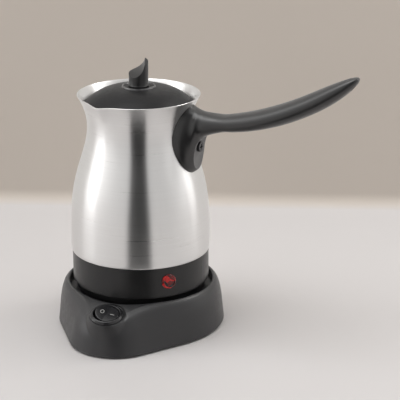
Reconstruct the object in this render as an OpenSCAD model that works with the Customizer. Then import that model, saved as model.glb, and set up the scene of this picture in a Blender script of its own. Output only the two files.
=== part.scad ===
// Electric Turkish coffee maker: a steel pot with a side handle, a lid and a black heating
// skirt, standing on a powered base with a round rocker switch. Millimetres, +Z up, the pot's
// axis is Z, the switch lobe points to -Y and the table is z = 0.

/* [Pot] */
// Largest radius of the steel body
belly_r = 50.3; // [40:0.1:60]
// Radius at the narrowest part of the neck
neck_r = 37.1; // [28:0.1:45]
// Radius of the flared rim
rim_r = 43.9; // [34:0.1:52]
// Height where the steel body starts, above the black band
steel_z = 56.5; // [50:0.1:65]
// Height of the widest part of the body
belly_z = 62; // [57:0.5:80]
// Height of the neck
neck_z = 148.5; // [130:0.5:160]
// Height of the rim
rim_z = 171.2; // [160:0.1:185]
// Sheet thickness of the steel body
steel_t = 0.8; // [0.5:0.1:1.5]
// How far the pot is turned on its base
pot_turn = -4.3; // [-180:0.1:180]

/* [Spout] */
// Direction of the pouring lip, from the handle
spout_dir = -102; // [-180:1:180]
// How far the lip's tip stands out past the rim
spout_out = 3.1; // [1:0.1:6]
// How far below the rim the lip's fold starts on the neck
spout_drop = 14.2; // [8:0.1:20]

/* [Band and pilot light] */
// Radius of the black heating skirt
band_r = 49.6; // [45:0.1:55]
// Lower edge of the skirt
band_z = 34.1; // [31:0.1:38]
// Height of the pilot light
pilot_z = 46.2; // [40:0.1:52]
// Direction of the pilot light, from the handle
pilot_dir = -39.4; // [-180:0.1:180]
// Radius of the red lens
pilot_r = 5.3; // [3:0.1:7]

/* [Handle] */
// Distance of the handle's tip from the pot's axis
handle_reach = 163.6; // [120:0.1:190]
// Rise of the arm per millimetre where it leaves the pot
arm_rise = 0.06; // [0:0.01:0.4]
// Upward bend of the arm
arm_bend = 0.0031; // [0:0.0001:0.006]
// Half height of the arm at its slimmest
arm_b = 5.9; // [4:0.1:10]
// Half width of the arm at its slimmest
arm_a = 9.4; // [5:0.1:14]
// Half width of the pad on the pot
pad_w = 17.6; // [10:0.1:22]
// Radius of the hanging hole
hang_r = 2.2; // [1.5:0.1:4]

/* [Lid] */
// How far the lid's edge lies below the rim
lid_drop = 7.2; // [4:0.1:12]
// Rise of the dome
dome_h = 12.1; // [4:0.1:20]
// Radius of the knob
knob_r = 6.95; // [4:0.05:12]
// Height of the knob's top above the lid's edge, over its axis
knob_h = 30.3; // [20:0.1:45]
// Radius of the scoop that hollows the knob's top
scoop_r = 9.6; // [5:0.1:20]
// How far the scoop's middle lies beside the knob's axis
scoop_off = 5; // [2:0.1:10]
// Sideways tilt of the scoop and of the top, degrees
knob_tilt = 17.2; // [0:0.1:30]
// Direction the scoop rises towards
knob_dir = 21; // [-180:1:180]

/* [Base] */
// Radius of the round part of the base at the table
base_r = 61; // [55:0.1:75]
// Radius of the switch lobe at the table
lobe_r = 34.5; // [20:0.1:50]
// Distance of the lobe's centre from the pot's axis
lobe_y = 44.8; // [30:0.1:70]
// Height of the base's crown round the well
crown_z = 32.9; // [25:0.1:45]
// How fast the lobe's top falls towards the front
lobe_fall = 0.0095; // [0:0.0005:0.02]
// Radius of the well the pot stands in
well_r = 52; // [50.5:0.1:56]
// Height of the well's floor
floor_z = 26; // [15:0.1:30]
// Wall of the base mouldings
wall = 2.4; // [1.5:0.1:4]

/* [Switch] */
// Distance of the switch from the pot's axis
switch_y = 65.3; // [55:0.1:72]
// Sideways place of the switch
switch_x = 1.4; // [-3:0.1:3]
// Height of the middle of the switch
switch_z = 27; // [20:0.1:35]
// Tilt of the switch towards the front
switch_tilt = 13; // [0:0.5:45]
// Lean of the switch towards the handle's side
switch_lean = 5; // [-10:0.5:10]
// Radius of the switch's bezel
bezel_r = 11.8; // [8:0.1:15]
// Radius of the rocker disc
rocker_r = 8.45; // [6:0.1:12]
// Angle the rocker rests at, on side down
rock = 7; // [3:0.5:12]

/* [Hidden] */
$fn = 64;
e = 0.05;                      // running gap between pieces that touch
ns = 96;                       // points round the base's outline
tang = acos((base_r - lobe_r) / lobe_y);   // direction where the straight flanks start
n_main = 56; n_side = 6; n_lobe = 28;
cover_z = 29;                  // underside of the pot's bottom cover
deck_z = 31;                   // top of that cover, where the socket stands
foot_z = floor_z + e;          // the pot's foot ring stands here
inner_floor = steel_z + 0.8;   // underside of the vessel's floor
spout_reach = rim_r + spout_out;
spout_low = rim_z - spout_drop;
lid_z = rim_z - lid_drop;      // height of the lid's edge
lid_r = pot_r(lid_z) - steel_t - 0.37;     // the lid drops into the flare with a small gap
skirt_r = neck_r - steel_t;    // outside of the lid's skirt
knob_top = lid_z + knob_h;
hx0 = neck_r + 17.9;           // where the arm leaves its root
arm_l = handle_reach - hx0;    // length of the arm
hang_x = handle_reach - 5.3;   // the hanging hole, near the tip
screw_z = rim_z - 33.2;        // height of the handle's screw
screw_x = pot_r(screw_z);      // the pot's outside at that height
inlet_z = 9.5;                 // height of the cord's entry
boss_xy = [[32, 24], [-32, 24], [28, -28], [-28, -28]];
grey = [0.28, 0.28, 0.29]; black = [0.1, 0.1, 0.11]; brass = [0.8, 0.62, 0.3];
steel = [0.78, 0.78, 0.78];

// ---- shared shapes ----
// radius of the pot's outside at a height
function pot_r(z) = z < belly_z ? belly_r - 0.3 * (belly_z - z) / 5.5
    : z < neck_z ? neck_r + (belly_r - neck_r) / 2
        * (1 + cos(180 * pow((z - belly_z) / (neck_z - belly_z), 1.7)))
    : neck_r + (rim_r - neck_r) * pow((z - neck_z) / (rim_z - neck_z), 2);
// heights of the pot's profile, closer together in the flare
pot_zs = [for (i = [0:25]) steel_z + i * (150 - steel_z) / 25,
          for (i = [1:10]) 150 + i * (rim_z - 150) / 10];
// a solid inside the pot's outside surface moved out by g
module pot_form(g, z0, z1) rotate_extrude($fn = 96)
    polygon([[0, z0], [pot_r(z0) + g, z0], for (z = pot_zs) if (z > z0 && z < z1) [pot_r(z) + g, z],
             [pot_r(z1) + g, z1], [0, z1]]);
// one point of the base's outline: two circles joined by straight flanks
function base_pt(i, d) = let (r0 = base_r - d, r1 = lobe_r - d, a0 = tang - 90,
        a1 = 270 - tang, c = [0, -lobe_y])
    i < n_main ? let (a = a0 + (a1 - a0) * i / n_main) r0 * [cos(a), sin(a)]
    : i < n_main + n_side ? let (t = (i - n_main) / n_side, n = [cos(a1), sin(a1)])
        (1 - t) * r0 * n + t * (c + r1 * n)
    : i < n_main + n_side + n_lobe ? let (a = a1 + 2 * tang * (i - n_main - n_side) / n_lobe)
        c + r1 * [cos(a), sin(a)]
    : let (t = (i - n_main - n_side - n_lobe) / n_side, n = [cos(a0), sin(a0)])
        (1 - t) * (c + r1 * n) + t * r0 * n;
// height of the base's top over a point
function top_h(y) = crown_z - lobe_fall * pow(max(0, -y - 40), 2);
// wall stations of the base: inset and share of the height
walls = [[0.3, 0.1], [0.95, 0.3], [1.7, 0.53], [2.6, 0.71], [4.1, 0.875], [5.4, 0.955], [7, 1]];
function base_ring(d, f, g, z0) = [for (i = [0:ns - 1]) let (p = base_pt(i, d + g))
    [p.x, p.y, z0 + (top_h(p.y) - g - z0) * f]];
// a ring of the base's top, moved from the crown (s = 0) to the well's edge (s = 1)
function top_ring(s, r, dz, g) = [for (i = [0:ns - 1]) let (p = base_pt(i, 7 + g),
        q = r * p / norm(p), m = (1 - s) * p + s * q) [m.x, m.y, top_h(m.y) - g - dz]];
// a closed skin over a stack of rings, with a point in the middle of each end
module skin(rings, low, high) {
    n = len(rings[0]); m = len(rings);
    pts = [for (r = rings) each r, low, high];
    polyhedron(pts, [for (k = [0:m - 2], i = [0:n - 1]) let (j = (i + 1) % n, a = k * n)
            each [[a + i, a + i + n, a + j], [a + j, a + i + n, a + j + n]],
        for (i = [0:n - 1]) let (j = (i + 1) % n)
            each [[i, j, n * m], [(m - 1) * n + j, (m - 1) * n + i, n * m + 1]]],
        convexity = 6);
}
module base_form(g, z0) skin([base_ring(z0 < 0 ? 0 : 0.7, 0, g, z0),
        base_ring(0, z0 < 0 ? 0.01 : 0.03, g, z0), for (w = walls) base_ring(w[0], w[1], g, z0),
        top_ring(0.25, 52.6, 0, g), top_ring(0.5, 52.6, 0, g), top_ring(0.75, 52.6, 0, g),
        top_ring(1, 52.7, 0.5, g), top_ring(1, 51.2, 2.6, g)],
        [0, -10, z0], [0, 0, crown_z - 2.6 - g]);
module base_plan(d) polygon([for (i = [0:ns - 1]) base_pt(i, d)]);
module tube(r1, r0, z0, z1) translate([0, 0, z0]) difference() {
    cylinder(r = r1, h = z1 - z0);
    translate([0, 0, -1]) cylinder(r = r0, h = z1 - z0 + 2);
}
module rod(r, z0, z1) translate([0, 0, z0]) cylinder(r = r, h = z1 - z0);
// a round wire through a list of points
function unit(v) = v / norm(v);
module wire(pts, r) let (m = len(pts) - 1, dirs = [for (i = [0:m])
        unit((i > 0 ? unit(pts[i] - pts[i - 1]) : [0, 0, 0])
            + (i < m ? unit(pts[i + 1] - pts[i]) : [0, 0, 0]))])
    skin([for (i = [0:m]) let (u = unit(cross(dirs[i], [0.3, 0.2, 0.93])), v = cross(dirs[i], u))
        [for (k = [0:7]) pts[i] + r * (cos(45 * k) * u + sin(45 * k) * v)]], pts[0], pts[m]);
module at_switch() translate([switch_x, -switch_y, switch_z])
    rotate([switch_tilt, switch_lean, 0]) children();
// a place in the switch's own tilted frame
function sw_pt(p) = let (a = switch_tilt, b = switch_lean, z = p.y * sin(a) + p.z * cos(a))
    [switch_x + p.x * cos(b) + z * sin(b), p.y * cos(a) - p.z * sin(a) - switch_y,
     switch_z - p.x * sin(b) + z * cos(b)];
module at_pot() rotate([0, 0, pot_turn]) children();
module at_pilot() rotate([0, 0, pilot_dir]) translate([0, 0, pilot_z]) rotate([0, 90, 0])
    children();

// ---- base ----
// moulded upper casing with the pot's well, the switch boss and the cord opening
module base_shell() color(grey) difference() {
    union() {
        difference() {
            base_form(0, 1.2);
            difference() {
                base_form(wall, -1);
                rod(well_r + 1.6, floor_z - 2.2, 60);
            }
        }
        for (p = boss_xy) translate(p) rod(3.6, 3.5, floor_z - 1);
        for (s = [-1, 1]) translate([17 * s, 0]) rod(2.8, floor_z - 1, floor_z + 1.6);
        at_switch() { rod(13.4, -8, 0); translate([0, 0, -7]) cylinder(r1 = 15, r2 = 13.4, h = 6); }
    }
    rod(well_r, floor_z, 60);
    for (s = [-1, 1]) translate([17 * s, 0]) rod(1.25, 20, floor_z + 1);
    rod(13.4, 20, 40);
    for (p = boss_xy) translate(p) rod(1.5, 3, 16);
    at_switch() { rod(10.3, -5.2, 20); rod(9.45, -20, -5.2); rod(12.2, 0, 20); }
    difference() {
        at_switch() rod(11.5, -20, -2.6);
        rod(well_r + 1.6, floor_z - 2.2, 60);
    }
    translate([0, base_r - 11, inlet_z]) rotate([-90, 0, 0]) cylinder(r = 5, h = 20);
}
// flat cover closing the casing from below
module base_cover() color(black) difference() {
    translate([0, 0, 1.4]) linear_extrude(2) base_plan(wall + 0.75);
    tube(50.1, 45.9, 0, 2.2);
    for (s = [-1, 1]) translate([13 * s, -66]) rod(5.1, 0, 2.2);
    for (p = boss_xy) translate(p) {
        rod(1.7, 0, 5);
        translate([0, 0, 1.39]) cylinder(r1 = 3.2, r2 = 1.7, h = 1.5);
    }
}
// soft ring foot under the round part and two pads under the lobe
module base_feet() color([0.2, 0.2, 0.2]) {
    tube(50, 46, 0, 2.15);
    for (s = [-1, 1]) translate([13 * s, -66]) rod(5, 0, 2.15);
}
module base_screws() color(steel) for (p = boss_xy) translate(p) difference() {
    union() {
        translate([0, 0, 1.45]) cylinder(r1 = 3.1, r2 = 1.45, h = 1.6);
        rod(1.45, 1.5, 14);
    }
    for (a = [0, 90]) rotate(a) translate([-2, -0.4, 1]) cube([4, 0.8, 1.1]);
}
// flanged bushing where the cord enters; the cord itself is not shown in the photo
module inlet_bushing() color(black) translate([0, base_r, inlet_z]) rotate([-90, 0, 0])
    difference() {
        union() { rod(4.95, -5.8, 1); rod(6.5, 0.05, 1.6); rod(5.7, -6, -4.3); }
        rod(3.3, -11, 9);
    }
module terminal_block() color([0.85, 0.85, 0.8]) difference() {
    translate([-12, 32, 14]) cube([24, 11, floor_z - 2.2 - e - 14]);
    for (x = [-7, 7]) {
        translate([x, 20, 18.5]) rotate([-90, 0, 0]) cylinder(r = 1.6, h = 30);
        translate([x, 37.5]) rod(1.7, 10, 18.5);
    }
}
// ---- connector in the base ----
// insulating post with a ring slot and a middle socket
module conn_post() color([0.16, 0.16, 0.17]) difference() {
    union() {
        rod(20, floor_z - 4.2, floor_z - 2.2 - e);
        rod(13.25, floor_z - 4.2, floor_z + 9.6);
        translate([0, 0, floor_z + 9.6]) cylinder(r1 = 13.25, r2 = 12, h = 1.4);
    }
    tube(10.4, 8, floor_z + 1, 60);
    rod(3.5, floor_z + 1, 60);
    rod(1.6, 10, 60);
    translate([9.9, 0]) rod(0.9, 10, 40);
    for (s = [-1, 1]) translate([17 * s, 0]) rod(1.5, 10, 40);
}
module conn_ring() color(brass) {
    tube(10.35, 9.85, floor_z + 1.05, floor_z + 9);
    translate([9.9, 0]) rod(0.85, 18, floor_z + 2);
}
module conn_pin() color(brass) { rod(1.55, 18, floor_z + 9.4);
    translate([0, 0, floor_z + 9.4]) sphere(r = 1.55); }
module conn_screws() color(steel) for (s = [-1, 1]) translate([17 * s, 0]) {
    rod(2.4, floor_z - 5.8, floor_z - 4.25);
    rod(1.2, floor_z - 5, floor_z + 0.8);
}
// insulated leads from the terminals to the switch and to the connector
module base_leads() color([0.55, 0.2, 0.15]) {
    wire([[-7, 36, 18.5], [-7, 30, 18.5], [-20, 14, 12], [-20, -24, 10], [-9, -42, 10],
          sw_pt([-6, 8, -15.2]), sw_pt([-6, 2.65, -15])], 1.1);
    wire([[7, 36, 18.5], [7, 27, 18.5], [1, 10, 16.9], [0, 0, 16.9]], 1.1);
    wire([sw_pt([6, 2.65, -15]), sw_pt([6, 8, -15.2]), [8, -40, 9], [12, -20, 12], [11, -4, 16],
          [9.9, 0, 16.9]], 1.1);
}
// ---- switch: the parts sit in the switch's own tilted frame ----
module switch_housing() color(black) at_switch() difference() {
    union() {
        rod(9.3, -11.5, -4);
        rod(10.2, -5.1, 0.5);
        translate([0, 0, e]) cylinder(r = bezel_r, h = 0.9);
        translate([0, 0, e + 0.9]) cylinder(r1 = bezel_r, r2 = bezel_r - 1.3, h = 1.3);
    }
    rod(rocker_r + 0.75, -4, 5);
    rod(7.9, -9.5, -2);
    for (x = [-6, 6]) translate([x, 0, -15]) cube([1.1, 5.2, 12], center = true);
    rotate([90, 0, 0]) translate([0, -2.4]) rod(1.12, -9.3, 9.3);
}
// terminal blades; the inner ends carry the fulcrum and the fixed contact
module switch_blades() color(brass) at_switch() {
    for (s = [-1, 1]) translate([6 * s, 0, -13]) cube([0.9, 5, 7.5], center = true);
    translate([0, 0, -9.1]) cube([2.4, 5, 0.7], center = true);
    translate([3.3, 0, -9.2]) cube([5.6, 2, 0.5], center = true);
    translate([0, 0, -8.4]) cube([0.8, 5, 1.2], center = true);
    translate([-6.1, 0, -9.36]) cube([1, 4, 0.25], center = true);
    translate([-6.1, 0, -9.24]) cylinder(r = 1.1, h = 0.22, center = true);
}
// the rocker disc, drawn with its on side down
module switch_rocker() color(black) at_switch() translate([0, 0, -2.4]) rotate([0, rock, 0])
    difference() {
        union() {
            intersection() {
                rod(rocker_r, 0, 7);
                union() {
                    rotate([0, rock, 0]) translate([-20, -20, -3]) cube([20, 40, 7.4]);
                    rotate([0, -rock, 0]) translate([0, -20, -3]) cube([20, 40, 7.4]);
                }
            }
            rotate([90, 0, 0]) rod(1.05, -rocker_r - 0.2, rocker_r + 0.2);
            rod(2.6, -3.4, 0);
        }
        rod(1.65, -5, 1.8);
    }
// two inlaid marks: a ring on the off side and a bar on the on side
module rocker_marks() color([0.95, 0.95, 0.95]) at_switch() translate([0, 0, -2.4])
    rotate([0, rock, 0]) {
        rotate([0, rock, 0]) translate([-3, 0, 4.4]) scale([1, 1.4, 1]) tube(1.6, 1, 0.01, 0.06);
        rotate([0, -rock, 0]) translate([3.2, 0, 4.43]) cube([3.5, 0.8, 0.05], center = true);
    }
// spring-loaded plunger that slides along the contact arm
module rocker_plunger() color([0.9, 0.88, 0.8]) at_switch() translate([0, 0, -2.4])
    rotate([0, rock, 0]) {
        translate([0, 0, -3.9]) sphere(r = 1.03, $fn = 24);
        rod(1.03, -3.9, -2.6);
        rod(1.55, -2.6, 1.7);
    }
// see-saw contact arm resting on the fulcrum, its free end on the fixed contact
module switch_arm() color(brass) at_switch() translate([0, 0, -7.8]) rotate([0, -6, 0])
    union() {
        translate([-6.6, -1.9, 0.05]) cube([13.2, 3.8, 0.4]);
        translate([-6.1, 0, -0.2]) cylinder(r = 1, h = 0.7, center = true);
    }
// ---- pot ----
// drawn steel vessel with its flare, its pouring lip and a stepped foot
module lip(g, low, high) skin([for (k = [0:7]) let (t = k / 7, z = low + (high - low) * t,
        r = pot_r(min(z, rim_z)) - g, tip = r + 0.02 + (spout_reach - rim_r - 0.02) * pow(t, 1.4),
        b = acos(r / tip), rr = 1.6 * t + 0.05)
    [[r * 0.9, 0, z], [r * cos(b), -r * sin(b), z],
     for (a = [-b, -b / 3, b / 3, b]) [tip - rr / cos(b) + rr * cos(a), rr * sin(a), z
        - (high > rim_z ? 0 : 1.5 * t)],
     [r * cos(b), r * sin(b), z]]], [34, 0, low], [40, 0, high]);
module pot_shell() color(steel) at_pot() difference() {
    union() {
        pot_form(0, steel_z, rim_z);
        rod(47.8, 53, steel_z + 0.2);
        rotate([0, 0, spout_dir]) lip(0, spout_low, rim_z);
    }
    rotate_extrude($fn = 96) polygon([[0, inner_floor + 0.8], [belly_r - 2.1, inner_floor + 0.8],
        [pot_r(steel_z + 4) - steel_t, inner_floor + 2.4],
        for (z = pot_zs) if (z > steel_z + 4) [pot_r(z) - steel_t, z],
        [rim_r - steel_t + 0.6, rim_z + 1], [0, rim_z + 1]]);
    rod(47, 40, inner_floor);
    rotate([0, 0, spout_dir]) lip(steel_t, spout_low, rim_z + 0.6);
}
// black heating skirt; the pilot light shines through its bore
module pot_band() color([0.13, 0.13, 0.14]) at_pot() difference() {
    union() {
        rotate_extrude() polygon([[band_r, steel_z - 0.3], [band_r, band_z + 0.5],
            [band_r - 0.5, band_z], [45, band_z], [45, band_z + 1.6], [47.9, band_z + 1.6],
            [47.9, steel_z - 0.3]]);
        for (a = [60, 180, 300]) rotate(a) translate([43.6, 0])
            rod(3, band_z + 0.2, band_z + 8.4);
    }
    for (a = [60, 180, 300]) rotate(a) translate([43.6, 0]) rod(1.5, band_z - 1, band_z + 7);
    at_pilot() rod(pilot_r + e, 40, 60);
}
module band_seal() color([0.3, 0.3, 0.3]) at_pot() tube(49.3, 48, steel_z - 0.28, steel_z - 0.03);
module heater_plate() color([0.75, 0.76, 0.78]) at_pot() rod(42, 53.2, inner_floor - 0.02);
// tubular element pressed against the heater plate
module heating_element() color([0.45, 0.42, 0.4]) at_pot() {
    rotate([0, 0, 200]) rotate_extrude(angle = 320) translate([31, 49.75]) circle(r = 3.4);
    for (a = [200, 160]) rotate(a) translate([31, 0]) {
        translate([0, 0, 49.75]) sphere(r = 3.4);
        rod(3.4, 43, 49.75);
    }
}
module element_pins() color(brass) at_pot() for (a = [200, 160]) rotate(a) translate([31, 0]) {
    rod(1.2, 38, 43);
    translate([0, 0, 38.6]) cube([0.8, 4.8, 4.4], center = true);
}
// boil-dry cut-out clipped under the plate
module thermostat() color([0.2, 0.2, 0.21]) at_pot() translate([-4, 12]) {
    rod(8, 45.6, 53.18);
    for (s = [-1, 1]) translate([4.5 * s, 0, 44.2]) cube([3, 0.8, 3.2], center = true);
}
module thermal_fuse() color([0.85, 0.8, 0.75]) at_pot() translate([4, -14, 50.5])
    rotate([0, 90, 0]) { rod(1.9, -6, 6); rod(0.5, -12, 12); }
module fuse_clip() color(steel) at_pot() translate([4, -14]) difference() {
    translate([-2.5, -6, 48]) cube([5, 12, 5.17]);
    translate([0, 0, 50.5]) rotate([0, 90, 0]) rod(1.95, -9, 9);
    for (s = [-1, 1]) translate([-5, s * 4.2 - 1.9 * (s < 0 ? 1 : 0), 45]) cube([10, 1.9, 6.6]);
}
// bottom cover with the foot ring the pot stands on
module pot_cover() color(black) at_pot() difference() {
    union() {
        rod(47.2, cover_z, deck_z - e);
        tube(47.2, 45.6, cover_z, band_z - e);
        tube(39.5, 36, foot_z, cover_z + 0.1);
        for (a = [60, 180, 300]) rotate(a) translate([43.6, 0]) rod(2.9, cover_z, band_z - e);
    }
    rod(14.4, 20, 40);
    for (a = [60, 180, 300]) rotate(a) translate([43.6, 0]) rod(1.6, 20, 40);
}
module pot_screws() color(steel) at_pot() for (a = [60, 180, 300]) rotate(a)
    translate([43.6, 0]) difference() {
        union() { rod(2.6, cover_z - 1.7, cover_z - e); rod(1.45, cover_z - 1, band_z + 6.5); }
        for (b = [0, 90]) rotate(b) translate([-1.6, -0.35, cover_z - 2]) cube([3.2, 0.7, 1.1]);
    }
// cup that drops over the base's post
module socket_housing() color([0.16, 0.16, 0.17]) at_pot() difference() {
    union() { rod(17.5, deck_z, 42.2); rod(23, deck_z, deck_z + 2); }
    rod(13.75, 20, 39.6);
    rod(1.25, 20, 60);
    translate([9.2, 0]) rod(0.85, 20, 60);
}
module socket_ring() color(brass) at_pot() {
    tube(9.5, 8.9, cover_z + 0.8, 39.55);
    translate([9.2, 0]) rod(0.8, 38, 44);
}
module socket_pin() color(brass) at_pot() { tube(3.15, 1.95, cover_z + 0.4, 39.55);
    difference() { rod(1.2, 37.5, 44); }
    rod(2.2, 37.6, 39.55); }
module pot_leads() color([0.7, 0.7, 0.65]) at_pot() {
    wire([[0, 0, 44.02], [0, 0, 45.2], [-9, -4, 45], [-18.6, -8, 44.4], [-21, -9, 38],
          [-25, -10, 34.6], [-29.1, -10.6, 34.2], [-29.13, -10.6, 36.38]], 0.9);
    wire([[9.2, 0, 44.02], [9.2, 0, 45], [8, 8, 44.6], [4.5, 12, 44.2], [2.05, 12, 44.2]], 0.8);
    wire([[-10.05, 12, 44.2], [-15, 12, 44.2], [-20, 11.5, 43.6], [-22, 11, 38],
          [-25.5, 10.6, 34.6], [-29.1, 10.6, 34.2], [-29.13, 10.6, 36.38]], 0.9);
    wire([[25.92, -23.1, pilot_z], [25.3, -22.3, 43.5], [14, -26, 38], [-10, -27, 36],
          [-22, -16, 35], [-25, -10, 34.6]], 0.7);
    wire([[27.7, -20.94, pilot_z], [27.6, -18.5, 43], [27, 6, 38], [14, 26, 37], [-14, 25, 36],
          [-25.5, 10.6, 34.6]], 0.7);
}
module pilot_lens() color([0.8, 0.06, 0.06]) at_pot() at_pilot() difference() {
    union() {
        rod(pilot_r, 47.4, 50.2);
        translate([0, 0, 50.2]) cylinder(r1 = pilot_r, r2 = pilot_r - 1.2, h = 0.8);
        rod(pilot_r + 1, 45.6, 47.42);
    }
    rod(pilot_r - 1.2, 40, 49.3);
}
module pilot_holder() color([0.15, 0.15, 0.15]) at_pot() at_pilot() difference() {
    rod(4.6, 37.2, 45.55);
    rod(3.3, 38.6, 50);
    for (s = [-1, 1]) translate([0, 1.4 * s]) rod(0.5, 30, 40);
}
module neon_lamp() color([1, 0.6, 0.3]) at_pot() at_pilot() {
    rod(2.5, 38.65, 45.5);
    translate([0, 0, 45.5]) sphere(r = 2.5);
    for (s = [-1, 1]) translate([0, 1.4 * s]) rod(0.4, 35.5, 39);
}
// ---- handle: one skin from the pad on the pot to the tip ----
function arm_z(x) = let (u = x - hx0) rim_z - 15 + arm_rise * u + arm_bend * u * u;
function arm_s(x) = atan(arm_rise + 2 * arm_bend * (x - hx0));
function tip_f(x) = let (u = 1 - (handle_reach - x) / (0.2726 * arm_l))
    u <= 0 ? 1 : sqrt(max(0, 1 - pow(u, 2.2)));
function swell(x) = sin(180 * min(1, max(0, (x - hx0 - 0.1197 * arm_l) / (0.8471 * arm_l))));
function arm_ring(x, n) = let (s = arm_s(x), b = (arm_b + 1.1 * swell(x)) * tip_f(x),
        a = (arm_a + 2 * swell(x)) * pow(tip_f(x), 0.8))
    [for (i = [0:n - 1]) let (t = 360 * i / n, c = cos(t), q = sin(t),
        v = b * sign(c) * pow(abs(c), 0.9))
        [x - v * sin(s), a * sign(q) * pow(abs(q), 0.86), arm_z(x) + v * cos(s)]];
// stations of the root, from the neck's radius and down from the rim: bottom x, bottom z,
// top x, top z, half width below and above
roots = [[7.5, 52, 4.7, 3.8, 1, 1], [10.1, 49.6, 7.1, 5.2, 0.92, 0.95],
    [10.9, 44.2, 9.4, 6.3, 0.7, 0.85], [11.5, 37.2, 11.9, 7.2, 0.56, 0.74],
    [12.7, 30.2, 14.5, 7.7, 0.53, 0.64], [16.1, 24.6, 18.4, 7.9, 0.55, 0.59]];
// places of the arm's rings, as shares of its length
arm_fs = [0.046, 0.101, 0.166, 0.239, 0.313, 0.387, 0.46, 0.534, 0.608, 0.682, 0.746, 0.801,
    0.847, 0.889, 0.921, 0.948, 0.971, 0.987, 0.9963];
// how far a ring follows the pot's surface
function root_ring(k, n) = let (r = roots[k]) [for (i = [0:n - 1]) let (t = 360 * i / n,
        h = (1 + cos(t)) / 2, q = sin(t), z = rim_z - r[1] + (r[1] - r[3]) * h,
        f = r[4] + (r[5] - r[4]) * h, y = pad_w * f * sign(q) * pow(abs(q), 0.85)
            * (1 - 0.2 * h * (k < 3 ? 1 : 0.3)),
        flat = neck_r + r[0] + (r[2] - r[0]) * h,
        hug = sqrt(pow(pot_r(z), 2) - y * y) + [0, 3.2, 6][min(k, 2)],
        m = [1, 0.75, 0.35, 0.1, 0, 0][k])
    [m * hug + (1 - m) * flat, y, z]];
module handle() color(black) at_pot() difference() {
    skin([[for (p = root_ring(0, 40)) [p.x - 5, p.y, p.z]], for (k = [0:5]) root_ring(k, 40),
          for (f = arm_fs) arm_ring(hx0 + f * arm_l, 40)],
        [neck_r - 3, 0, rim_z - 28], [handle_reach, 0, arm_z(handle_reach)]);
    pot_form(e, steel_z, rim_z);
    // pocket for the welded bracket, screw bore with its counterbore, hanging hole
    translate([screw_x - 4.33, -7.2, screw_z - 10.2]) cube([7.7, 14.4, 20.4]);
    translate([screw_x - 8.33, 0, screw_z]) rotate([0, 90, 0]) {
        rod(4.05, 0, 14.6); rod(2.1, 0, 40); rod(3.9, 16.75, 40);
    }
    // oval recess round the screw, under the arm
    translate([screw_x + 9.2, 0, screw_z - 4.5]) rotate([0, 96.8, 0]) scale([1.6, 1, 1])
        rod(7.8, 0, 14);
    translate([hang_x, 0, arm_z(hang_x)]) rotate([0, -arm_s(hang_x), 0]) rod(hang_r, -20, 20);
}
// steel bracket spot-welded to the neck, with a threaded boss
module handle_bracket() color(steel) at_pot() difference() {
    union() {
        translate([screw_x - 2.33, -7, screw_z - 10]) cube([5.6, 14, 20]);
        translate([screw_x - 2.33, 0, screw_z]) rotate([0, 90, 0]) rod(4, 0, 8.5);
    }
    pot_form(e, steel_z, rim_z);
    translate([screw_x + 2.67, 0, screw_z]) rotate([0, 90, 0]) rod(1.8, 0, 20);
    translate([screw_x - 4, -5, screw_z - 8]) cube([9, 10, 3.5]);
}
module handle_screw() color(steel) at_pot() translate([screw_x, 0, screw_z]) rotate([0, 90, 0])
    difference() {
        union() { rod(1.75, 3.17, 9.4); rod(3.6, 8.47, 10.6); }
        for (b = [0, 90]) rotate(b) translate([-2.2, -0.45, 9.7]) cube([4.4, 0.9, 2]);
    }
// ---- lid ----
function dome(r) = lid_z + 0.6 + dome_h * (1 - pow(r / lid_r, 3.2));
module lid_dome() color([0.12, 0.12, 0.13]) difference() {
    rotate_extrude($fn = 96) polygon([[0, dome(0) - 0.2], [10.9, dome(0) - 0.2],
        [11.15, dome(0) + 0.6], [11.75, dome(0) + 0.6], [12, dome(12)],
        for (i = [1:12]) let (r = 12 + i * (lid_r - 12) / 12) [r, dome(r)],
        [lid_r, lid_z], [lid_r - 0.5, lid_z - 0.5], [skirt_r + 0.3, lid_z - 0.5],
        [skirt_r, lid_z - 6.5], [skirt_r - 1.4, lid_z - 6.5], [skirt_r - 1.4, lid_z - 0.4],
        for (i = [0:8]) let (r = (skirt_r - 2.3) * (1 - i / 8)) [r, dome(r) - 2]]);
    rod(1.7, lid_z - 4, lid_z + 26);
}
module knob() color(black) translate([0, 0, dome(0) - 0.15]) rotate(knob_dir) let (
        top = knob_top - dome(0) + 0.15) difference() {
    union() {
        rod(knob_r, 0, top + 4);
        rod(knob_r + 0.35, 0, 1.2);
        translate([0, 0, 1.2]) cylinder(r1 = knob_r + 0.35, r2 = knob_r, h = 0.3);
    }
    translate([0, 0, top]) rotate([knob_tilt, 0, 0]) translate([-20, -20, 0]) cube([40, 40, 20]);
    translate([-scoop_off, 0, top + 1.5]) rotate([knob_tilt - 90, 0, 0])
        cylinder(r = scoop_r, h = 60, center = true);
    rod(1.4, -1, 5.7);
}
module knob_screw() color(steel) difference() {
    union() { rod(1.35, dome(0) - 3.6, dome(0) + 5); rod(3, dome(0) - 3.8, dome(0) - 2.16); }
    for (b = [0, 90]) rotate(b) translate([-2, -0.4, dome(0) - 4]) cube([4, 0.8, 1.1]);
}

base_shell();
base_cover();
base_feet();
base_screws();
inlet_bushing();
terminal_block();
conn_post();
conn_ring();
conn_pin();
conn_screws();
base_leads();
switch_housing();
switch_blades();
switch_rocker();
rocker_marks();
rocker_plunger();
switch_arm();
pot_shell();
pot_band();
band_seal();
heater_plate();
heating_element();
element_pins();
thermostat();
thermal_fuse();
fuse_clip();
pot_cover();
pot_screws();
socket_housing();
socket_ring();
socket_pin();
pot_leads();
pilot_lens();
pilot_holder();
neon_lamp();
handle();
handle_bracket();
handle_screw();
lid_dome();
knob();
knob_screw();
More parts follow.
